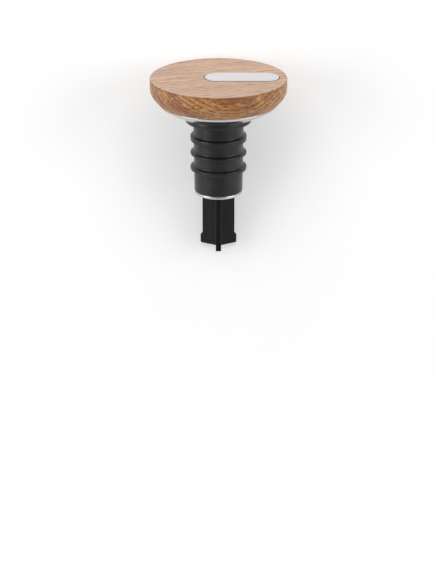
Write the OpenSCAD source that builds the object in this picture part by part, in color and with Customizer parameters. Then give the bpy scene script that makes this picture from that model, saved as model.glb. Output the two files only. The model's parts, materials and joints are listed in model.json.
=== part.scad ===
// Wooden bottle stopper: an oak head on a steel dish, over a lipped silicone
// seal that a plastic core with a three-finned stem holds in the bottle's neck.
// Every piece is drawn upright round the stopper's axis, with Z up through the
// head and Z = 0 at the seal's seat on the bottle's mouth. The whole stopper is
// then laid down as it comes to rest, on the head and two of the three fins.

/* [Head] */
// Diameter of the oak head
head_d = 48; // [44:0.2:56]
// Height of the straight band under the top face
band_h = 3.4; // [2:0.2:6]
// Radius of the shoulder that turns the band into the cone below it
shoulder_r = 5.2; // [2.4:0.2:6]
// Slope of the cone, in degrees
cone_slope = 50; // [44:1:56]
// Rounding of the edge round the top face
top_edge_r = 0.4; // [0.2:0.1:1]

/* [Steel dish] */
// Distance from the head's edge in to the knee where the dish turns up into its rim
dish_inset = 3.8; // [3:0.1:6]
// Height of the rim, which carries on the cone's slope up to the oak
dish_rim_h = 0.9; // [0.6:0.1:2]
// Slope of the dish where it meets its rim, in degrees
dish_rim_slope = 32; // [28:1:36]
// Slope of the dish where it meets the flat underneath, in degrees
dish_foot_slope = 22; // [16:1:25]
// Diameter of the flat underneath the dish
dish_flat_d = 25.6; // [24:0.2:30]
// Thickness of the steel
dish_t = 0.8; // [0.5:0.1:1.2]
// Rounding of the dish's rim
dish_lip_r = 0.25; // [0.1:0.05:0.3]
// Room for glue between the dish and the oak above it
glue_gap = 0.1; // [0.05:0.05:0.3]

/* [Inlay plate] */
// Length of the plate in the top face, with its round ends
inlay_l = 26; // [20:0.5:30]
// Width of the plate
inlay_w = 9.9; // [6:0.1:14]
// Distance from the head's edge in to the end of the plate
inlay_margin = 2.8; // [2.6:0.1:11]
// Thickness of the plate
inlay_t = 1.2; // [0.8:0.1:2]
// Height of the plate above the oak
inlay_proud = 0.3; // [0:0.05:0.5]
// Bevel along the plate's upper edge
inlay_bevel = 0.18; // [0.1:0.02:0.5]
// Gap round the plate in its recess
inlay_gap = 0.2; // [0.1:0.05:0.4]

/* [Silicone seal] */
// Diameter of the flange that seats on the bottle's mouth
flange_d = 23.4; // [22:0.2:25]
// Thickness of the flange
flange_t = 2.3; // [1.4:0.1:3]
// Rounding of the flange's edge
flange_edge_r = 0.7; // [0.3:0.1:1]
// Outer diameter of the sleeve under the flange
sleeve_top_d = 17.8; // [17:0.1:18.4]
// Outer diameter of the sleeve at its lower end
sleeve_foot_d = 17; // [16:0.1:17.6]
// Length of the sleeve below the seat
sleeve_l = 25.4; // [22:0.2:32]
// Diameter over the lips before they bend in the neck
lip_d = 19.8; // [19:0.1:21]
// Depth of the first lip below the seat
lip_depth = 5.9; // [4:0.1:7]
// Distance from one lip to the next
lip_pitch = 5.5; // [4.5:0.1:6.5]
// Thickness of the top lip at its edge
top_lip_t = 1.8; // [1:0.1:2.4]
// Thickness of the middle lip at its edge
mid_lip_t = 0.8; // [0.6:0.1:1.6]
// Thickness of the bottom lip at its edge
low_lip_t = 1.2; // [0.6:0.1:2]
// Extra thickness of each lip where it leaves the sleeve
lip_root = 0.7; // [0.2:0.1:1.2]
// Rounding of the lips' edges
lip_edge_r = 0.25; // [0.1:0.05:0.25]

/* [Retaining ring] */
// Outer diameter of the steel ring under the sleeve
ring_d = 16.8; // [15:0.1:18]
// Thickness of the ring
ring_t = 1; // [0.6:0.1:1.6]
// Rounding of the ring's edges
ring_edge_r = 0.2; // [0.1:0.05:0.3]

/* [Plastic core] */
// Diameter of the barrel inside the sleeve and the ring
barrel_d = 11; // [10:0.1:11.6]
// Clearance between the barrel and what slides over it
barrel_gap = 0.05; // [0:0.01:0.1]
// Length of the barrel below the ring, which ties the fins together
barrel_foot = 0.8; // [0.4:0.1:3]
// Diameter of the spigot glued into the head
spigot_d = 9; // [6:0.1:10]
// Length of the spigot above the dish
spigot_l = 6.5; // [4:0.1:7.5]
// Number of barbs round the spigot
barbs = 3; // [1:1:4]
// Depth of the grooves above the barbs
barb_depth = 0.4; // [0.2:0.05:0.6]
// Clearance round the spigot and above its end
spigot_gap = 0.1; // [0.05:0.05:0.2]

/* [Fins] */
// Length of the fins below the ring
fin_l = 20.1; // [14:0.1:30]
// Diameter over the three fins
fin_d = 12.4; // [12:0.1:13.6]
// Diameter over the wider feet of the fins
fin_foot_d = 14; // [14:0.1:16]
// Height of the feet, below their sloping shoulder
fin_foot_h = 3.2; // [2:0.1:6]
// Thickness of each fin
fin_t = 1.9; // [1.2:0.1:2.6]
// Chamfer of the feet's lower edge
fin_chamfer = 0.3; // [0.1:0.05:0.6]
// Radius of the fillets where the fins join
fin_root_r = 0.8; // [0.4:0.1:1.2]

/* [Hidden] */
round_fn = 128;
arc_steps = 10;
fin_count = 3;

oak = [0.78, 0.62, 0.47];
steel = [0.80, 0.80, 0.83];
silicone = [0.17, 0.15, 0.16];
plastic = [0.13, 0.12, 0.13];

// Heights of the dish, worked up from the seat
head_r = head_d / 2;
dish_flat_r = dish_flat_d / 2;
dish_curve_r = (head_r - dish_inset - dish_flat_r) / (sin(dish_rim_slope) - sin(dish_foot_slope));
dish_c = [
    dish_flat_r - dish_curve_r * sin(dish_foot_slope),
    flange_t + dish_curve_r * cos(dish_foot_slope)
];
dish_in_r = dish_curve_r - dish_t;
dish_floor_z = flange_t + dish_t;
dish_in_slope = acos((dish_c[1] - dish_floor_z) / dish_in_r);
knee = dish_c + dish_curve_r * [sin(dish_rim_slope), -cos(dish_rim_slope)];
cone_up = [cos(cone_slope), sin(cone_slope)];
cone_in = [-sin(cone_slope), cos(cone_slope)];
seam = knee + dish_rim_h / sin(cone_slope) * cone_up;

// Heights of the head, worked up from the dish's rim
cone_top_r = head_r - shoulder_r * (1 - sin(cone_slope));
cone_top_z = seam[1] + (cone_top_r - seam[0]) * tan(cone_slope);
shoulder_c = [head_r - shoulder_r, cone_top_z + shoulder_r * cos(cone_slope)];
head_top_z = shoulder_c[1] + band_h;
oak_in_r = dish_in_r - glue_gap;
oak_in_slope = acos((dish_c[1] - dish_floor_z) / oak_in_r);
inlay_x = head_r - inlay_margin - inlay_l / 2;

// Heights of the seal and the core, worked down from the seat
lip_edges = [top_lip_t, mid_lip_t, low_lip_t];
fin_top_z = -sleeve_l - ring_t;
fin_tip_z = fin_top_z - fin_l;
fin_step = (fin_foot_d - fin_d) / 2;

// The floor touches the shoulder's arc and the near corners of the two lower fins
foot_reach = fin_foot_d / 2 * cos(180 / fin_count - asin(fin_t / fin_foot_d));
foot_point = [foot_reach, fin_tip_z + fin_chamfer];
reach = shoulder_c - foot_point;
lie_tilt = atan2(reach[0], reach[1]) + asin(shoulder_r / norm(reach));
floor_drop = foot_point[0] * cos(lie_tilt) - foot_point[1] * sin(lie_tilt);
far_y = (head_r - top_edge_r) * sin(lie_tilt) + (head_top_z - top_edge_r) * cos(lie_tilt) + top_edge_r;
near_y = fin_tip_z * cos(lie_tilt) - (fin_foot_d / 2 - fin_chamfer) * sin(lie_tilt);

// Points of an arc about c, from angle a to angle b
function arc(c, r, a, b) = [
    for (i = [0 : arc_steps])
        let (angle = a + (b - a) * i / arc_steps)
        c + r * [cos(angle), sin(angle)]
];

// Points of the dish's curve at radius r, from one slope to another
function dish_curve(r, from, to) = arc(dish_c, r, from - 90, to - 90);

// Where the rim's inside, at a depth under its outer face, meets the dish's curve
function inner_knee(depth) = let (
    start = knee + depth * cone_in,
    reach = start - dish_c,
    along = reach * cone_up
) start - (along + sqrt(along * along - reach * reach + pow(dish_curve_r - depth, 2))) * cone_up;

// Slope of the dish's curve at a point of it, at radius r
function slope_at(point, r) = asin((point[0] - dish_c[0]) / r);

// Outer radius of the sleeve at depth z
function sleeve_r(z) = let (share = -z / sleeve_l)
    (sleeve_top_d + (sleeve_foot_d - sleeve_top_d) * share) / 2;

// Outline of one lip at depth z, t thick at its edge, listed downwards
function lip(z, t) = let (
    root = (t + lip_root) / 2,
    edge = [lip_d / 2 - lip_edge_r, t / 2 - lip_edge_r]
) concat(
    [[sleeve_r(z + root), z + root]],
    arc([edge[0], z + edge[1]], lip_edge_r, 90, 0),
    arc([edge[0], z - edge[1]], lip_edge_r, 0, -90),
    [[sleeve_r(z - root), z - root]]
);

module turned(outline) {
    rotate_extrude($fn = round_fn) polygon(outline);
}

// A bar with half-round ends, l long and w wide
module stadium(l, w, h) {
    linear_extrude(h) union() {
        square([l - w, w], center = true);
        for (side = [-1, 1])
            translate([side * (l - w) / 2, 0]) circle(d = w, $fn = round_fn);
    }
}

// The turned head: a flat top, a straight band and a cone that steps into the dish
module oak_head() {
    color(oak) laid() difference() {
        turned(concat(
            [[0, head_top_z]],
            arc([head_r - top_edge_r, head_top_z - top_edge_r], top_edge_r, 90, 0),
            arc(shoulder_c, shoulder_r, 0, cone_slope - 90),
            [seam + glue_gap * cone_up, seam + glue_gap * cone_up + (dish_t + glue_gap) * cone_in],
            dish_curve(oak_in_r, slope_at(inner_knee(dish_t + glue_gap), oak_in_r), oak_in_slope),
            [[0, dish_floor_z]]
        ));
        translate([inlay_x, 0, head_top_z + inlay_proud - inlay_t])
            stadium(inlay_l + 2 * inlay_gap, inlay_w + 2 * inlay_gap, inlay_t + 1);
        translate([0, 0, dish_floor_z - 1])
            cylinder(d = spigot_d + 2 * spigot_gap, h = spigot_l + spigot_gap + 1, $fn = round_fn);
    }
}

// The plate in the top face, with a bevel all round its upper edge
module inlay_plate() {
    bevel_z = inlay_t - inlay_bevel;
    color(steel) laid() translate([inlay_x, 0, head_top_z + inlay_proud - inlay_t]) union() {
        stadium(inlay_l, inlay_w, bevel_z);
        translate([0, 0, bevel_z]) for (side = [-1, 1])
            translate([side * (inlay_l - inlay_w) / 2, 0])
                cylinder(r1 = inlay_w / 2, r2 = inlay_w / 2 - inlay_bevel, h = inlay_bevel, $fn = round_fn);
        translate([-(inlay_l - inlay_w) / 2, 0, bevel_z]) rotate([90, 0, 90])
            linear_extrude(inlay_l - inlay_w) polygon([
                [-inlay_w / 2, 0],
                [inlay_w / 2, 0],
                [inlay_w / 2 - inlay_bevel, inlay_bevel],
                [inlay_bevel - inlay_w / 2, inlay_bevel]
            ]);
    }
}

// The pressed dish that carries the head's form on below the oak
module steel_dish() {
    lip_c = seam + dish_lip_r * (cone_in - cone_up);
    color(steel) laid() difference() {
        turned(concat(
            [[0, dish_floor_z]],
            dish_curve(dish_in_r, dish_in_slope, slope_at(inner_knee(dish_t), dish_in_r)),
            [seam + dish_t * cone_in],
            arc(lip_c, dish_lip_r, cone_slope, cone_slope - 90),
            dish_curve(dish_curve_r, dish_rim_slope, dish_foot_slope),
            [[0, flange_t]]
        ));
        translate([0, 0, flange_t - 1])
            cylinder(d = spigot_d + 2 * spigot_gap, h = dish_t + 2, $fn = round_fn);
    }
}

// The moulded seal: a flange, a tapering sleeve and three lips
module silicone_seal() {
    bore_r = barrel_d / 2 + barrel_gap;
    flange_r = flange_d / 2;
    color(silicone) laid() turned(concat(
        [[bore_r, flange_t], [flange_r - flange_edge_r, flange_t]],
        arc([flange_r - flange_edge_r, flange_t - flange_edge_r], flange_edge_r, 80, 0),
        arc([flange_r - flange_edge_r, flange_edge_r], flange_edge_r, 0, -90),
        [[sleeve_top_d / 2, 0]],
        [for (i = [0 : len(lip_edges) - 1]) each lip(-lip_depth - i * lip_pitch, lip_edges[i])],
        [[sleeve_foot_d / 2, -sleeve_l], [bore_r, -sleeve_l]]
    ));
}

// The bright ring that keeps the sleeve on the barrel and rests on the fins
module retaining_ring() {
    bore_r = barrel_d / 2 + barrel_gap;
    edge_x = ring_d / 2 - ring_edge_r;
    color(steel) laid() turned(concat(
        [[bore_r, -sleeve_l]],
        arc([edge_x, -sleeve_l - ring_edge_r], ring_edge_r, 90, 0),
        arc([edge_x, fin_top_z + ring_edge_r], ring_edge_r, 0, -90),
        [[bore_r, fin_top_z]]
    ));
}

// The envelope that the three fins reach out to, down to their chamfered feet
module fin_envelope() {
    foot_r = fin_foot_d / 2;
    turned([
        [0, fin_top_z],
        [fin_d / 2, fin_top_z],
        [fin_d / 2, fin_tip_z + fin_foot_h + fin_step],
        [foot_r, fin_tip_z + fin_foot_h],
        [foot_r, fin_tip_z + fin_chamfer],
        [foot_r - fin_chamfer, fin_tip_z],
        [0, fin_tip_z]
    ]);
}

// The moulded core: a barbed spigot, a barrel and a stem of three fins
module plastic_core() {
    spigot_r = spigot_d / 2;
    spigot_top = dish_floor_z + spigot_l;
    barb_h = spigot_l / barbs;
    color(plastic) laid() union() {
        turned(concat(
            [[0, spigot_top]],
            [for (i = [0 : barbs - 1]) each [
                [spigot_r - barb_depth, spigot_top - i * barb_h],
                [spigot_r, spigot_top - (i + 0.7) * barb_h],
                [spigot_r, spigot_top - (i + 1) * barb_h]
            ]],
            [
                [spigot_r, flange_t],
                [barrel_d / 2, flange_t],
                [barrel_d / 2, fin_top_z - barrel_foot],
                [0, fin_top_z - barrel_foot]
            ]
        ));
        intersection() {
            fin_envelope();
            union() {
                for (i = [0 : fin_count - 1])
                    rotate([0, 0, -90 + i * 360 / fin_count])
                        translate([0, -fin_t / 2, fin_tip_z - 1])
                            cube([fin_foot_d, fin_t, fin_l + 2]);
                fin_root();
            }
        }
    }
}

// Fillets that fill the three corners between the fins
module fin_root() {
    reach_r = (fin_t / 2 + fin_root_r) / sin(180 / fin_count);
    half_angle = 180 / fin_count;
    tangent_r = (fin_t / 2 + fin_root_r) / tan(half_angle);
    translate([0, 0, fin_tip_z - 1]) linear_extrude(fin_l + 2)
        for (i = [0 : fin_count - 1]) rotate(-90 + (i + 0.5) * 360 / fin_count) difference() {
            polygon([
                [0, 0],
                [tangent_r * cos(half_angle) + fin_t / 2 * sin(half_angle),
                    fin_t / 2 * cos(half_angle) - tangent_r * sin(half_angle)],
                [tangent_r * cos(half_angle) + fin_t / 2 * sin(half_angle),
                    tangent_r * sin(half_angle) - fin_t / 2 * cos(half_angle)]
            ]);
            translate([reach_r, 0]) circle(r = fin_root_r, $fn = 32);
        }
}

// Lays the upright stopper down with its inlay up and its middle over the origin
module laid() {
    translate([0, -(far_y + near_y) / 2, floor_drop]) rotate([lie_tilt - 90, 0, 0]) children();
}

oak_head();
inlay_plate();
steel_dish();
silicone_seal();
retaining_ring();
plastic_core();
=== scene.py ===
# An oak-headed stopper that lies on a white table, on its head and two of its fins.
# Its pieces are drawn upright in millimetres, as the part's source draws them, with Z up
# through the head and Z = 0 at the seal's seat, and then laid into the frame.
import bpy, bmesh, json
from math import acos, asin, atan2, cos, pi, radians, sin, sqrt, tan
from mathutils import Matrix, Vector


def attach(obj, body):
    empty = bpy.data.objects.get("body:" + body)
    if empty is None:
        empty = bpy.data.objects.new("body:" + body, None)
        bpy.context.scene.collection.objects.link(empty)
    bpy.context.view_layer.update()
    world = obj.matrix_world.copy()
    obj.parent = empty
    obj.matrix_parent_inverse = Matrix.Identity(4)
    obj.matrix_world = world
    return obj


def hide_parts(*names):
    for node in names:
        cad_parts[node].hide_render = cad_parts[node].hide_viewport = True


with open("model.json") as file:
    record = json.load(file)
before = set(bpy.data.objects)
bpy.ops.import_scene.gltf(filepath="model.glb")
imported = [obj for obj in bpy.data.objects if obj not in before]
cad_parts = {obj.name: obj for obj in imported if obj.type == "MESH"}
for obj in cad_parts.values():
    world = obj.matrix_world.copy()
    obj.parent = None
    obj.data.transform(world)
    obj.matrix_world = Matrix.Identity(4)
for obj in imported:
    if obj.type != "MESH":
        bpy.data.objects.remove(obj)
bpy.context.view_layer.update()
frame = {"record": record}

# Sizes in millimetres, as in the part's source
HEAD_R = 24.0
HEAD_EDGE = 0.4
BAND_H = 3.4
SHOULDER_R = 5.2
CONE_SLOPE = radians(50)
KNEE_R = 20.2
RIM_H = 0.9
DISH_FLAT_R = 12.8
DISH_T = 0.8
KNEE_SLOPE, FOOT_SLOPE = radians(32), radians(22)
GLUE_GAP = 0.1
INLAY_L, INLAY_W, INLAY_X = 26.0, 9.9, 8.2
INLAY_T, INLAY_PROUD, INLAY_BEVEL, INLAY_GAP = 1.2, 0.3, 0.18, 0.2
FLANGE_R, FLANGE_T = 11.7, 2.3
SLEEVE_TOP_R, SLEEVE_FOOT_R, SLEEVE_L = 8.9, 8.5, 25.4
LIP_R, LIP_DEPTH, LIP_PITCH, LIP_ROOT = 9.9, 5.9, 5.5, 0.7
LIP_EDGES = (1.8, 0.8, 1.2)
BORE_R, BARREL_R = 5.55, 5.5
RING_R, RING_T = 8.4, 1.0
SPIGOT_R, SPIGOT_L, BARBS, BARB_DEPTH, SPIGOT_GAP = 4.5, 6.5, 3, 0.4, 0.1
FIN_L, FIN_R, FOOT_R, FOOT_H, FIN_T = 20.1, 6.2, 7.0, 3.2, 1.9
FIN_CHAMFER, FIN_ROOT_R, FINS = 0.3, 0.8, 3

# Sizes that only this script has: the hidden foot of the core's barrel, the eased edges of
# the plate's recess and the fins' tips, and the oak's grain. Points closer than WELD become
# one, and a bend sharper than CREASE is shaded as an edge.
BARREL_FOOT, RECESS_EASE, TIP_EASE = 0.8, 0.15, 0.18
GRAIN_TURN, RING_SLANT, RING_STEP, PITH_DEPTH = radians(-15), radians(-35), 1.5, 90.0
WELD, CREASE = 0.0005, radians(32)

# Places that follow from the sizes
DISH_CURVE_R = (KNEE_R - DISH_FLAT_R) / (sin(KNEE_SLOPE) - sin(FOOT_SLOPE))
DISH_C = (DISH_FLAT_R - DISH_CURVE_R * sin(FOOT_SLOPE), FLANGE_T + DISH_CURVE_R * cos(FOOT_SLOPE))
DISH_FLOOR_Z = FLANGE_T + DISH_T
KNEE = Vector((KNEE_R, DISH_C[1] - DISH_CURVE_R * cos(KNEE_SLOPE)))
CONE_UP = Vector((cos(CONE_SLOPE), sin(CONE_SLOPE)))
CONE_IN = Vector((-sin(CONE_SLOPE), cos(CONE_SLOPE)))
SEAM = KNEE + CONE_UP * RIM_H / sin(CONE_SLOPE)
CONE_TOP_R = HEAD_R - SHOULDER_R * (1 - sin(CONE_SLOPE))
SHOULDER_C = (HEAD_R - SHOULDER_R,
              SEAM[1] + (CONE_TOP_R - SEAM[0]) * tan(CONE_SLOPE) + SHOULDER_R * cos(CONE_SLOPE))
HEAD_TOP_Z = SHOULDER_C[1] + BAND_H
INLAY_Z = HEAD_TOP_Z + INLAY_PROUD - INLAY_T
FIN_TOP_Z = -SLEEVE_L - RING_T
FIN_TIP_Z = FIN_TOP_Z - FIN_L

# The seat's mount says where the stopper's axis lies in the frame
seat = next(m for m in frame["record"]["mounts"] if m["name"] == "mouth_seat")
TILT = atan2(-seat["axis"][2], -seat["axis"][1])
TURN = Matrix.Rotation(TILT - pi / 2, 4, "X")
LAID = Matrix.Translation((0, seat["pos_m"][1], seat["pos_m"][2])) @ TURN @ Matrix.Scale(0.001, 4)


def arc(centre, radius, start, end, steps=10):
    """Points of an arc in the outline's plane, with its angles in radians."""
    return [(centre[0] + radius * cos(start + (end - start) * i / steps),
             centre[1] + radius * sin(start + (end - start) * i / steps)) for i in range(steps + 1)]


def dish_curve(radius, start, end, steps=14):
    """Points of the dish's curve at a radius, from one slope to another."""
    return arc(DISH_C, radius, start - pi / 2, end - pi / 2, steps)


def inner_curve(depth):
    """The dish's curve from its flat to its rim, some millimetres inside its outer face."""
    radius = DISH_CURVE_R - depth
    start = KNEE + CONE_IN * depth
    reach = start - Vector(DISH_C)
    along = reach.dot(CONE_UP)
    end = start - CONE_UP * (along + sqrt(along ** 2 - reach.length_squared + radius ** 2))
    return dish_curve(radius, acos((DISH_C[1] - DISH_FLOOR_Z) / radius),
                      asin((end.x - DISH_C[0]) / radius))


def rounded(corners, steps=5):
    """Points of an outline whose corners (r, z, radius) become fillets of that radius."""
    points = []
    for i, (r, z, radius) in enumerate(corners):
        if not radius:
            points.append((r, z))
            continue
        here = Vector((r, z))
        before = Vector(corners[i - 1][:2]) - here
        after = Vector(corners[(i + 1) % len(corners)][:2]) - here
        half = before.angle(after) / 2
        cut = min(radius / tan(half), 0.49 * before.length, 0.49 * after.length)
        radius = cut * tan(half)
        before.normalize()
        after.normalize()
        centre = here + (before + after).normalized() * radius / sin(half)
        first, last = here + before * cut - centre, here + after * cut - centre
        start = atan2(first.y, first.x)
        sweep = (atan2(last.y, last.x) - start + pi) % (2 * pi) - pi
        points += arc(centre, radius, start, start + sweep, steps)
    return points


def add(tree, kind, inputs, **settings):
    """Adds a node with its settings, inputs and links, and returns its first live output.

    The node's other outputs are reached through it, as .node.outputs."""
    made = tree.nodes.new(kind if "Node" in kind else "ShaderNode" + kind)
    for key, value in settings.items():
        setattr(made, key, value)
    for key, value in inputs.items():
        socket = next(s for s in made.inputs if s.enabled and key in (s.name, s.identifier))
        if isinstance(value, bpy.types.NodeSocket):
            tree.links.new(value, socket)
        else:
            socket.default_value = value
    return next((s for s in made.outputs if s.enabled), None)


def maths(tree, operation, a, b=None):
    """The sum, product or other working of two values, or of one."""
    values = {"Value": a} if b is None else {"Value": a, "Value_001": b}
    return add(tree, "Math", values, operation=operation)


def shaping_tree(name, count):
    """A Geometry Nodes tree that takes a mesh, a named count and a material, and its inputs."""
    tree = bpy.data.node_groups.new(name, "GeometryNodeTree")
    tree.interface.new_socket("Geometry", in_out="OUTPUT", socket_type="NodeSocketGeometry")
    for title, kind in (("Geometry", "Geometry"), (count, "Int"), ("Material", "Material")):
        tree.interface.new_socket(title, in_out="INPUT", socket_type="NodeSocket" + kind)
    return tree, add(tree, "NodeGroupInput", {}).node.outputs


def finish_tree(tree, shape, given):
    """Closes the seams of a tree's shape, makes it one real mesh and gives it the material."""
    whole = add(tree, "GeometryNodeRealizeInstances", {"Geometry": shape})
    whole = add(tree, "GeometryNodeMergeByDistance", {"Geometry": whole, "Distance": WELD})
    whole = add(tree, "GeometryNodeSetMaterial", {"Geometry": whole, "Material": given["Material"]})
    add(tree, "NodeGroupOutput", {"Geometry": whole})
    return tree


def lathe():
    """Turns an outline round the axis. Its points come in order, in the plane of X and Z."""
    tree, given = shaping_tree("lathe", "Sides")
    size = add(tree, "GeometryNodeAttributeDomainSize", {"Geometry": given["Geometry"]})
    points = size.node.outputs["Point Count"]
    skin = add(tree, "GeometryNodeMeshGrid", {"Vertices X": maths(tree, "ADD", given["Sides"], 1.0),
                                              "Vertices Y": points})
    index = add(tree, "GeometryNodeInputIndex", {})
    side = maths(tree, "FLOOR", maths(tree, "DIVIDE", index, points))
    place = add(tree, "GeometryNodeSampleIndex", {
        "Geometry": given["Geometry"],
        "Value": add(tree, "GeometryNodeInputPosition", {}),
        "Index": maths(tree, "SUBTRACT", index, maths(tree, "MULTIPLY", side, points)),
    }, data_type="FLOAT_VECTOR")
    angle = maths(tree, "MULTIPLY", maths(tree, "DIVIDE", side, given["Sides"]), 2 * pi)
    place = add(tree, "VectorRotate", {"Vector": place, "Angle": angle}, rotation_type="Z_AXIS")
    skin = add(tree, "GeometryNodeSetPosition", {"Geometry": skin, "Position": place})
    return finish_tree(tree, skin, given)


def repeater():
    """Repeats a shape round the axis, at even angles."""
    tree, given = shaping_tree("round repeat", "Copies")
    places = add(tree, "GeometryNodeMeshLine", {"Count": given["Copies"], "Offset": (0, 0, 0)})
    angle = maths(tree, "MULTIPLY", maths(tree, "DIVIDE", add(tree, "GeometryNodeInputIndex", {}),
                                          given["Copies"]), 2 * pi)
    copies = add(tree, "GeometryNodeInstanceOnPoints", {
        "Points": places, "Instance": given["Geometry"],
        "Rotation": add(tree, "CombineXYZ", {"Z": angle}),
    })
    return finish_tree(tree, copies, given)


def shaped(tree, mesh, **inputs):
    """What a tree makes of a mesh, as a plain mesh to work on."""
    obj = bpy.data.objects.new(tree.name, mesh)
    bpy.context.scene.collection.objects.link(obj)
    nodes = obj.modifiers.new(tree.name, "NODES")
    nodes.node_group = tree
    for socket in tree.interface.items_tree:
        if socket.in_out == "INPUT" and socket.name in inputs:
            nodes[socket.identifier] = inputs[socket.name]
    made = bpy.data.meshes.new_from_object(obj.evaluated_get(bpy.context.evaluated_depsgraph_get()))
    obj.modifiers.remove(nodes)
    bm = bmesh.new()
    bm.from_mesh(made)
    bpy.data.meshes.remove(mesh)
    bpy.data.meshes.remove(made)
    return bm


def turned(outline, material, closed=False, sides=224):
    """A mesh turned on the lathe from an outline of points (r, z)."""
    mesh = bpy.data.meshes.new("outline")
    mesh.from_pydata([(r, 0, z) for r, z in outline + (outline[:1] if closed else [])], [], [])
    return shaped(LATHE, mesh, Sides=sides, Material=material)


def bridge(bm, loops):
    """Faces between one loop of vertices and the next."""
    for a, b in zip(loops, loops[1:]):
        for i in range(len(a)):
            bm.faces.new((a[i - 1], a[i], b[i], b[i - 1]))


def stadium(bm, grow, z, steps=28):
    """A loop with the inlay plate's outline, grown by some millimetres, at height z."""
    radius = INLAY_W / 2 + grow
    reach = (INLAY_L - INLAY_W) / 2
    return [bm.verts.new((INLAY_X + side * reach + radius * cos(start + pi * i / steps),
                          radius * sin(start + pi * i / steps), z))
            for side, start in ((1, -pi / 2), (-1, pi / 2)) for i in range(steps + 1)]


def joined(one, other):
    """One mesh from two that overlap, as the one moulding that they are."""
    objects = []
    for bm in (one, other):
        bmesh.ops.recalc_face_normals(bm, faces=bm.faces)
        mesh = bpy.data.meshes.new("moulding")
        bm.to_mesh(mesh)
        bm.free()
        objects.append(bpy.data.objects.new("moulding", mesh))
        bpy.context.scene.collection.objects.link(objects[-1])
    union = objects[0].modifiers.new("union", "BOOLEAN")
    union.operation, union.object, union.solver = "UNION", objects[1], "EXACT"
    whole = objects[0].evaluated_get(bpy.context.evaluated_depsgraph_get())
    made = bpy.data.meshes.new_from_object(whole)
    bm = bmesh.new()
    bm.from_mesh(made)
    for obj in objects:
        bpy.data.meshes.remove(obj.data)
    bpy.data.meshes.remove(made)
    return bm


def lay(name, bm, material, node):
    """Makes the drawn piece an object in the frame, in place of the node of its form."""
    bmesh.ops.recalc_face_normals(bm, faces=bm.faces)
    bm.transform(LAID)
    for face in bm.faces:
        face.smooth = True
    for edge in bm.edges:
        edge.smooth = len(edge.link_faces) == 2 and edge.calc_face_angle() < CREASE
    mesh = bpy.data.meshes.new(name)
    bm.to_mesh(mesh)
    bm.free()
    mesh.materials.append(material)
    obj = bpy.data.objects.new(name, mesh)
    bpy.context.scene.collection.objects.link(obj)
    weighted = obj.modifiers.new("flats stay flat", "WEIGHTED_NORMAL")
    weighted.keep_sharp = True
    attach(obj, "root")
    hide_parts(node)
    return obj


# Materials

def linear(hex_colour):
    """A colour written as sRGB hex, as the linear values that the shader takes."""
    parts = [int(hex_colour[i:i + 2], 16) / 255 for i in (1, 3, 5)]
    return (*[p / 12.92 if p <= 0.04045 else ((p + 0.055) / 1.055) ** 2.4 for p in parts], 1)


def emptied(owner):
    """The tree of a material or world, with no nodes in it."""
    owner.use_nodes = True
    owner.node_tree.nodes.clear()
    return owner.node_tree


def material(name):
    """A new material with an empty tree and the place on the upright piece, in millimetres."""
    made = bpy.data.materials.new(name)
    tree = emptied(made)
    place = add(tree, "Mapping", {
        "Vector": add(tree, "TexCoord", {}).node.outputs["Object"],
        "Scale": (1000, 1000, 1000),
        "Rotation": (pi / 2 - TILT, 0, 0),
        "Location": LAID.inverted().translation,
    })
    return made, tree, place


def surface(tree, **inputs):
    """Links a Principled shader with these inputs to the material's output."""
    shader = add(tree, "BsdfPrincipled", {k.replace("_", " "): v for k, v in inputs.items()})
    add(tree, "OutputMaterial", {"Surface": shader})


def stretched(tree, place, scale, turn=(0, 0, 0)):
    """The place with other scales along its axes, after a turn."""
    return add(tree, "Mapping", {"Vector": place, "Scale": scale, "Rotation": turn})


def spread(tree, value, low, high, to_low=0.0, to_high=1.0):
    """A value's range from low to high, brought to another range and kept in it."""
    return add(tree, "MapRange", {"Value": value, "From Min": low, "From Max": high,
                                  "To Min": to_low, "To Max": to_high}, interpolation_type="SMOOTHSTEP")


def away(tree, a, b):
    """The distance from an axis that lies at a = b = 0."""
    squares = maths(tree, "MULTIPLY", a, a), maths(tree, "MULTIPLY", b, b)
    return maths(tree, "SQRT", maths(tree, "ADD", *squares))


def blend(tree, share, a, b):
    """The colour a with a share of the colour b in it."""
    return add(tree, "Mix", {"Factor": share, "A": a, "B": b}, data_type="RGBA")


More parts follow.
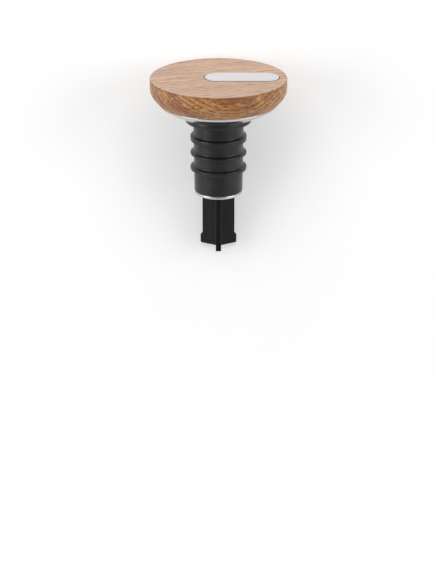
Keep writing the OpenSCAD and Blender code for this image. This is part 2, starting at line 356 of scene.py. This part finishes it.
# The oak was turned from one board with its grain across the head. Its year rings
# rise towards the back, so the top shows straight lines and both ends short strokes.
# The sanded top is painted paler. Part of this is real, because oil soaks deeper into the turned side
# than into the sanded top; part is painted sheen and light falling on the top.
def oak_material():
    made, tree, place = material("oiled oak")
    grain = stretched(tree, place, (1, 1, 1), (0, 0, GRAIN_TURN))
    slant = stretched(tree, grain, (1, 1, 1), (RING_SLANT, 0, 0))
    wander = add(tree, "TexNoise", {"Vector": stretched(tree, slant, (0.012, 0.09, 0.09)),
                                    "Scale": 1.0, "Detail": 2.0})
    # year rings wander about a pith that lies far below the head
    parts = add(tree, "SeparateXYZ", {"Vector": slant}).node.outputs
    radius = away(tree, maths(tree, "ADD", parts["Z"], PITH_DEPTH), parts["Y"])
    ring = maths(tree, "MODULO", maths(tree, "ADD", maths(tree, "DIVIDE", radius, RING_STEP),
                                       maths(tree, "MULTIPLY", wander, 2.4)), 1.0)
    early = maths(tree, "MULTIPLY", spread(tree, ring, 0.0, 0.15), spread(tree, ring, 0.7, 0.3))
    # pores are long cells in the early wood, drawn about twice as wide as they are
    cells = add(tree, "TexVoronoi", {"Vector": stretched(tree, slant, (0.25, 1.9, 2.2)), "Scale": 1.0})
    pores = maths(tree, "MULTIPLY", spread(tree, cells, 0.42, 0.28), spread(tree, early, 0.15, 0.7))
    # rays are thin sheets that stand across the rings, so they show as pale patches where cut flat
    sheets = add(tree, "TexNoise", {"Vector": stretched(tree, slant, (0.24, 0.9, 0.42)),
                                    "Scale": 1.0, "Detail": 0.0})
    rays = spread(tree, sheets, 0.56, 0.76)
    fibres = add(tree, "TexNoise", {"Vector": stretched(tree, slant, (0.11, 2.0, 2.6)),
                                    "Scale": 1.0, "Detail": 4.0, "Roughness": 0.7})
    drift = add(tree, "TexNoise", {"Vector": stretched(tree, slant, (0.05, 0.16, 0.16)), "W": 0.5,
                                   "Scale": 1.0, "Detail": 1.0}, noise_dimensions="4D")
    height = add(tree, "SeparateXYZ", {"Vector": place}).node.outputs["Z"]
    sanded_top_and_sheen = spread(tree, height, HEAD_TOP_Z - 0.2, HEAD_TOP_Z - 0.04)
    # a band just under the top edge is darker brown
    edge = maths(tree, "MULTIPLY", spread(tree, height, HEAD_TOP_Z - 1.1, HEAD_TOP_Z - 0.4),
                 spread(tree, height, HEAD_TOP_Z - 0.03, HEAD_TOP_Z - 0.15))
    colour = blend(tree, spread(tree, drift, 0.38, 0.62), linear("#C98D50"), linear("#A06337"))
    colour = blend(tree, spread(tree, early, 0.0, 1.0, 0.0, 0.5), colour, linear("#7A4826"))
    colour = blend(tree, spread(tree, fibres, 0.48, 0.3, 0.0, 0.6), colour, linear("#DBAA76"))
    colour = blend(tree, spread(tree, fibres, 0.5, 0.63, 0.0, 0.8), colour, linear("#683D20"))
    pale = maths(tree, "MULTIPLY", rays, spread(tree, sanded_top_and_sheen, 0.0, 1.0, 0.42, 0.3))
    colour = blend(tree, pale, colour, linear("#DDB182"))
    colour = blend(tree, maths(tree, "MULTIPLY", pores, 0.85), colour, linear("#4E2F1B"))
    # the top face painted paler: the paler oil finish there plus painted sheen and top light
    colour = blend(tree, maths(tree, "MULTIPLY", sanded_top_and_sheen, 0.46), colour, linear("#E9CBB3"))
    strokes = maths(tree, "MULTIPLY", maths(tree, "MULTIPLY", pores, sanded_top_and_sheen), 0.55)
    colour = blend(tree, strokes, colour, linear("#8A5A40"))
    colour = blend(tree, maths(tree, "MULTIPLY", edge, 0.4), colour, linear("#7A4526"))
    pits = maths(tree, "ADD", pores, maths(tree, "MULTIPLY", fibres, 0.5))
    bump = add(tree, "Bump", {"Height": pits, "Strength": 0.35, "Distance": 0.00008}, invert=True)
    surface(tree, Base_Color=colour, IOR=1.5, Normal=bump,
            Roughness=spread(tree, pores, 0.0, 1.0, 0.42, 0.62))
    return made


# The inlay plate was brushed along its length, so its scratches run that way and spread
# highlights across them. They are drawn 7 to the millimetre, coarse enough to show.
def inlay_material():
    made, tree, place = material("brushed inlay steel")
    lines = add(tree, "TexNoise", {"Vector": stretched(tree, place, (0.05, 7.0, 7.0)),
                                   "Scale": 1.0, "Detail": 3.0, "Roughness": 0.7})
    broad = add(tree, "TexNoise", {"Vector": stretched(tree, place, (0.03, 0.6, 0.6)), "Scale": 1.0})
    colour = blend(tree, spread(tree, lines, 0.3, 0.7), linear("#D4D3D8"), linear("#E1E0E5"))
    bump = add(tree, "Bump", {"Height": lines, "Strength": 0.25, "Distance": 0.00002})
    surface(tree, Base_Color=colour, Metallic=1.0, Normal=bump,
            Roughness=spread(tree, maths(tree, "ADD", lines, broad), 0.7, 1.3, 0.24, 0.38))
    return made


def round_lines(tree, place, along, across):
    """Noise drawn out into circles round the axis, as turning and polishing leave it.

    It takes the noise's scale along the circles and across them, to the millimetre."""
    parts = add(tree, "SeparateXYZ", {"Vector": place}).node.outputs
    where = add(tree, "CombineXYZ", {
        "X": maths(tree, "MULTIPLY", away(tree, parts["X"], parts["Y"]), across),
        "Y": maths(tree, "MULTIPLY", parts["Z"], across),
    })
    turn = add(tree, "VectorMath", {"Vector": place, "Scale": along}, operation="SCALE")
    return add(tree, "TexNoise", {
        "Vector": add(tree, "VectorMath", {"Vector": where, "Vector_001": turn}, operation="ADD"),
        "Scale": 1.0, "Detail": 3.0, "Roughness": 0.65,
    })


# The dish was pressed from sheet and polished on a lathe, so it mirrors softly with faint
# circles round it. They are drawn 3.5 to the millimetre, coarse enough to show.
def dish_material():
    made, tree, place = material("satin dish steel")
    lines = round_lines(tree, place, 0.06, 3.5)
    haze = add(tree, "TexNoise", {"Vector": place, "Scale": 0.25, "Detail": 2.0})
    colour = blend(tree, spread(tree, lines, 0.3, 0.7), linear("#BCB8BA"), linear("#CBC8CA"))
    bump = add(tree, "Bump", {"Height": lines, "Strength": 0.06, "Distance": 0.00002})
    surface(tree, Base_Color=colour, Metallic=1.0, Normal=bump,
            Roughness=spread(tree, maths(tree, "ADD", lines, haze), 0.7, 1.3, 0.14, 0.24))
    return made


# The ring was turned and polished bright, so its highlights are small and sharp.
def ring_material():
    made, tree, place = material("polished ring steel")
    lines = round_lines(tree, place, 0.05, 6.0)
    colour = blend(tree, spread(tree, lines, 0.3, 0.7), linear("#BFBDC1"), linear("#CECCD0"))
    surface(tree, Base_Color=colour, Metallic=1.0, Roughness=spread(tree, lines, 0.3, 0.7, 0.12, 0.2))
    return made


# The seal was moulded in silicone in a ground mould: a soft sheen, a stipple that is drawn
# 0.3 mm apart to show, and a light bloom of dust that the tacky rubber holds.
def silicone_material():
    made, tree, place = material("black silicone")
    stipple = add(tree, "TexNoise", {"Vector": place, "Scale": 3.2, "Detail": 2.0})
    bloom = add(tree, "TexNoise", {"Vector": place, "Scale": 0.22, "Detail": 4.0})
    colour = blend(tree, spread(tree, bloom, 0.35, 0.7), linear("#1A1718"), linear("#231F20"))
    bump = add(tree, "Bump", {"Height": stipple, "Strength": 0.12, "Distance": 0.00004})
    surface(tree, Base_Color=colour, IOR=1.41, Specular_IOR_Level=0.5, Normal=bump,
            Roughness=spread(tree, bloom, 0.3, 0.7, 0.24, 0.32))
    return made


# The core was injection moulded: a satin surface with faint flow marks along its length.
def plastic_material():
    made, tree, place = material("black moulded plastic")
    flow = add(tree, "TexNoise", {"Vector": stretched(tree, place, (0.5, 0.5, 0.09)),
                                  "Scale": 1.0, "Detail": 3.0, "Distortion": 0.6})
    grain = add(tree, "TexNoise", {"Vector": place, "Scale": 5.0, "Detail": 1.0})
    colour = blend(tree, spread(tree, flow, 0.35, 0.65), linear("#110F10"), linear("#171415"))
    bump = add(tree, "Bump", {"Height": grain, "Strength": 0.1, "Distance": 0.00003})
    surface(tree, Base_Color=colour, IOR=1.46, Specular_IOR_Level=0.18, Normal=bump,
            Roughness=spread(tree, flow, 0.3, 0.7, 0.3, 0.42))
    return made


# Pieces

def oak_head():
    """The turned head, with its recess for the plate and its socket for the core's spigot."""
    lower = SEAM + CONE_UP * GLUE_GAP
    step = lower + CONE_IN * (DISH_T + GLUE_GAP)
    inside = inner_curve(DISH_T + GLUE_GAP)[::-1]
    socket_r = SPIGOT_R + SPIGOT_GAP
    shoulder = arc(SHOULDER_C, SHOULDER_R, 0, CONE_SLOPE - pi / 2, 16)
    outline = arc((HEAD_R - HEAD_EDGE, HEAD_TOP_Z - HEAD_EDGE), HEAD_EDGE, pi / 2, 0, 8) + shoulder
    outline += rounded([(*shoulder[-1], 0), (*lower, 0.12), (*step, 0)])[1:]
    outline += inside
    socket_top = DISH_FLOOR_Z + SPIGOT_L + SPIGOT_GAP
    outline += [(socket_r, DISH_FLOOR_Z), (socket_r, socket_top), (0, socket_top)]
    oak = oak_material()
    bm = turned(outline, oak)
    loops = [stadium(bm, INLAY_GAP + RECESS_EASE * (1 - sin(a)), HEAD_TOP_Z - RECESS_EASE * (1 - cos(a)))
             for a in (pi / 2 * i / 5 for i in range(6))]
    loops.append(stadium(bm, INLAY_GAP, INLAY_Z))
    bridge(bm, loops)
    bm.faces.new(loops[-1])
    bmesh.ops.triangle_fill(bm, use_beauty=True, edges=[e for e in bm.edges if e.is_boundary])
    return lay("turned_oak_head", bm, oak, "oak_head")


def inlay_plate():
    """The plate, with a bevel all round its upper edge that is eased at both sides."""
    side = INLAY_W / 2
    profile = rounded([
        (0, INLAY_Z, 0),
        (side, INLAY_Z, 0.06),
        (side, INLAY_Z + INLAY_T - INLAY_BEVEL, 0.05),
        (side - INLAY_BEVEL, INLAY_Z + INLAY_T, 0.05),
        (0, INLAY_Z + INLAY_T, 0),
    ])[1:-1]
    bm = bmesh.new()
    loops = [stadium(bm, r - side, z) for r, z in profile]
    bridge(bm, loops)
    bm.faces.new(loops[0])
    bm.faces.new(loops[-1])
    return lay("brushed_inlay_plate", bm, inlay_material(), "inlay_plate")


def steel_dish():
    """The pressed dish under the oak, with soft bends at its rim and round its flat."""
    hole_r = SPIGOT_R + SPIGOT_GAP
    outside = dish_curve(DISH_CURVE_R, KNEE_SLOPE, FOOT_SLOPE)
    corners = [(hole_r, DISH_FLOOR_Z, 0.1)] + [(r, z, 0) for r, z in inner_curve(DISH_T)]
    corners += [(*(SEAM + CONE_IN * DISH_T), 0.1), (*SEAM, 0.25), (*outside[0], 0.8)]
    corners += [(r, z, 0) for r, z in outside[3:-3]]
    corners += [(*outside[-1], 1.0), (hole_r, FLANGE_T, 0.1)]
    steel = dish_material()
    return lay("pressed_steel_dish", turned(rounded(corners), steel, closed=True), steel,
               "steel_dish")


def silicone_seal():
    """The moulded seal, with a small fillet wherever a lip or the flange leaves the sleeve."""
    def sleeve_r(z):
        return SLEEVE_TOP_R - (SLEEVE_FOOT_R - SLEEVE_TOP_R) * z / SLEEVE_L
    corners = [(BORE_R, FLANGE_T, 0), (FLANGE_R, FLANGE_T, 0.7),
               (FLANGE_R, 0, 0.7), (SLEEVE_TOP_R, 0, 0.3)]
    for i, edge in enumerate(LIP_EDGES):
        z = -LIP_DEPTH - i * LIP_PITCH
        root = (edge + LIP_ROOT) / 2
        corners += [(sleeve_r(z + root), z + root, 0.35), (LIP_R, z + edge / 2, 0.3),
                    (LIP_R, z - edge / 2, 0.3), (sleeve_r(z - root), z - root, 0.35)]
    corners += [(SLEEVE_FOOT_R, -SLEEVE_L, 0.35), (BORE_R, -SLEEVE_L, 0)]
    silicone = silicone_material()
    return lay("moulded_silicone_seal", turned(rounded(corners, 7), silicone, closed=True), silicone,
               "silicone_seal")


def retaining_ring():
    """The bright ring between the sleeve and the fins."""
    outline = rounded([
        (BORE_R, -SLEEVE_L, 0.1), (RING_R, -SLEEVE_L, 0.22),
        (RING_R, FIN_TOP_Z, 0.22), (BORE_R, FIN_TOP_Z, 0.1),
    ], 6)
    steel = ring_material()
    return lay("polished_retaining_ring", turned(outline, steel, closed=True), steel,
               "retaining_ring")


def fin_outline(radius, inset):
    """A fin's outline across the stem, from its edge to where the next fin's begins."""
    half = FIN_T / 2 - inset
    radius -= inset
    corner = min(0.25, half * 0.9)
    across = half - corner
    along = sqrt((radius - corner) ** 2 - across ** 2)
    tip = atan2(across, along)
    outer = [(along + corner * cos(a), -across + corner * sin(a))
             for a in (-pi / 2 + (pi / 2 - tip) * i / 5 for i in range(6))]
    outer += [(radius * cos(a), radius * sin(a)) for a in (-tip + 2 * tip * i / 4 for i in range(1, 4))]
    outer += [(along + corner * cos(a), across + corner * sin(a))
              for a in (tip + (pi / 2 - tip) * i / 5 for i in range(6))]
    fillet = FIN_ROOT_R + inset
    root = (half + fillet) / tan(pi / FINS)
    outer += [(root + fillet * cos(a), half + fillet + fillet * sin(a))
              for a in (-pi / 2 - pi / 3 * i / 8 for i in range(9))]
    (u, v), turn = outer[0], 2 * pi / FINS
    outer.append((u * cos(turn) - v * sin(turn), u * sin(turn) + v * cos(turn)))
    return [(v, -u) for u, v in outer]


def fin(levels):
    """One fin with its share of the stem, from levels of reach, inset and height."""
    bm = bmesh.new()
    rows = [[bm.verts.new((x, y, z)) for x, y in fin_outline(r, inset)] for r, inset, z in levels]
    for a, b in zip(rows, rows[1:]):
        for i in range(1, len(a)):
            bm.faces.new((a[i - 1], a[i], b[i], b[i - 1]))
    for row in (rows[0], rows[-1]):
        centre = bm.verts.new((0, 0, row[0].co.z))
        for i in range(1, len(row)):
            bm.faces.new((centre, row[i - 1], row[i]))
    mesh = bpy.data.meshes.new("fin")
    bm.to_mesh(mesh)
    bm.free()
    return mesh


def plastic_core():
    """The moulded core: a barbed spigot, a barrel and a stem of three fins with wider feet."""
    foot_z = FIN_TIP_Z + FOOT_H
    profile = rounded([
        (FIN_R, FIN_TOP_Z, 0),
        (FIN_R, foot_z + FOOT_R - FIN_R, 0.5),
        (FOOT_R, foot_z, 0.35),
        (FOOT_R, FIN_TIP_Z + FIN_CHAMFER, 0.12),
        (FOOT_R - FIN_CHAMFER, FIN_TIP_Z, 0),
    ])
    levels = [(r, 0.0, z) for r, z in profile if z > FIN_TIP_Z + TIP_EASE]
    for i in range(6):
        a = pi / 2 * i / 5
        z = FIN_TIP_Z + TIP_EASE * (1 - sin(a))
        levels.append((FOOT_R - (FIN_TIP_Z + FIN_CHAMFER - z), TIP_EASE * (1 - cos(a)), z))
    plastic = plastic_material()
    fins = shaped(repeater(), fin(levels), Copies=FINS, Material=plastic)
    top = DISH_FLOOR_Z + SPIGOT_L
    step = SPIGOT_L / BARBS
    corners = [(0, top, 0)]
    for i in range(BARBS):
        corners += [(SPIGOT_R - BARB_DEPTH, top - i * step, 0.1),
                    (SPIGOT_R, top - (i + 0.7) * step, 0.1),
                    (SPIGOT_R, top - (i + 1) * step, 0.05)]
    corners += [(SPIGOT_R, FLANGE_T, 0.05), (BARREL_R, FLANGE_T, 0.1),
                (BARREL_R, FIN_TOP_Z - BARREL_FOOT, 0.2), (0, FIN_TOP_Z - BARREL_FOOT, 0)]
    barrel = turned(rounded(corners), plastic, sides=160)
    return lay("moulded_plastic_core", joined(fins, barrel), plastic, "plastic_core")


def seen(tree):
    """Whether the camera sees it straight, and whether it shows in or through a surface, as 1 or 0."""
    ray = add(tree, "LightPath", {}).node.outputs
    return ray["Is Camera Ray"], maths(tree, "MAXIMUM", ray["Is Glossy Ray"], ray["Is Transmission Ray"])


def table():
    """The white table, which keeps the stopper's soft shadow near it and glows a little to the camera.
    """
    made = bpy.data.materials.new("white table")
    tree = emptied(made)
    shown = maths(tree, "ADD", *seen(tree))
    shader = add(tree, "BsdfPrincipled", {
        "Base Color": linear("#E7E7E7"), "Roughness": 0.9, "Specular IOR Level": 0.0,
        "Emission Color": linear("#FFFFFF"), "Emission Strength": maths(tree, "MULTIPLY", shown, 0.3),
    })
    # away from the stopper, from 5 to 17 cm out, the camera sees plain white: painted light over the
    # outer part of its shadow
    place = add(tree, "TexCoord", {}).node.outputs["Object"]
    distance = add(tree, "VectorMath", {"Vector": place}, operation="LENGTH")
    far = maths(tree, "MULTIPLY", spread(tree, distance, 0.05, 0.17), shown)
    white = add(tree, "Emission", {"Color": (1, 1, 1, 1), "Strength": 1.0})
    shader = add(tree, "MixShader", {"Fac": far, "Shader": shader, "Shader_001": white})
    add(tree, "OutputMaterial", {"Surface": shader})
    bm = bmesh.new()
    bmesh.ops.create_grid(bm, x_segments=1, y_segments=1, size=6)
    mesh = bpy.data.meshes.new("table")
    bm.to_mesh(mesh)
    bm.free()
    mesh.materials.append(made)
    obj = bpy.data.objects.new("table", mesh)
    bpy.context.scene.collection.objects.link(obj)


def softbox(name, place, size, watts, in_gloss=True):
    """A square soft light that faces the stopper. The camera doesn't see it, and glosses may."""
    light = bpy.data.lights.new(name, "AREA")
    light.shape, light.size, light.energy = "SQUARE", size, watts
    obj = bpy.data.objects.new(name, light)
    obj.location = place
    obj.visible_camera = False
    obj.visible_glossy = in_gloss
    middle = Vector((0, 0, 0.02))
    obj.rotation_euler = (middle - obj.location).to_track_quat("-Z", "Y").to_euler()
    bpy.context.scene.collection.objects.link(obj)


def studio():
    """Soft light from beyond the head and from both sides, in a white surround.

    Glosses see its ceiling dim, as the gap between the lamps of a real studio."""
    world = bpy.data.worlds.new("studio")
    bpy.context.scene.world = world
    tree = emptied(world)
    straight, gloss = seen(tree)
    way = add(tree, "TexCoord", {}).node.outputs["Generated"]
    up = add(tree, "SeparateXYZ", {"Vector": way}).node.outputs["Z"]
    gloss = maths(tree, "MULTIPLY", gloss, spread(tree, up, 0.45, 0.95, 1.0, 0.1))
    # it lights the stopper softly, and shows as plain white
    light = 0.27
    shown = maths(tree, "MULTIPLY", maths(tree, "ADD", straight, gloss), 1 - light)
    strength = maths(tree, "ADD", shown, light)
    shader = add(tree, "Background", {"Color": (1, 1, 1, 1), "Strength": strength})
    add(tree, "OutputWorld", {"Surface": shader})
    # the large light stands for the part of the surround that glosses already show
    softbox("light beyond the head", (-0.12, 1.2, 1.0), 2.3, 17.5, in_gloss=False)
    softbox("light at the left", (-0.75, -0.05, 0.5), 0.6, 3.2)
    softbox("light at the right", (0.8, 0.05, 0.5), 0.6, 3.2)


def camera():
    """The photograph's view: 22 degrees down on the upright stopper, from 870 mm."""
    pitch, distance, aim_z = radians(21.96), 870.0, HEAD_TOP_Z - 79.68
    lens = bpy.data.cameras.new("camera")
    lens.lens, lens.sensor_width = 149.9, 36.0
    lens.clip_start, lens.clip_end = 0.05, 20
    obj = bpy.data.objects.new("camera", lens)
    obj.location = LAID @ Vector((-0.52, -distance * cos(pitch), aim_z + distance * sin(pitch)))
    obj.rotation_euler = (TILT - pitch, 0, 0)
    bpy.context.scene.collection.objects.link(obj)
    bpy.context.scene.camera = obj


LATHE = lathe()
camera()
studio()
table()
oak_head()
inlay_plate()
steel_dish()
silicone_seal()
retaining_ring()
plastic_core()
bpy.context.scene.view_settings.view_transform = "Standard"

bpy.context.view_layer.update()
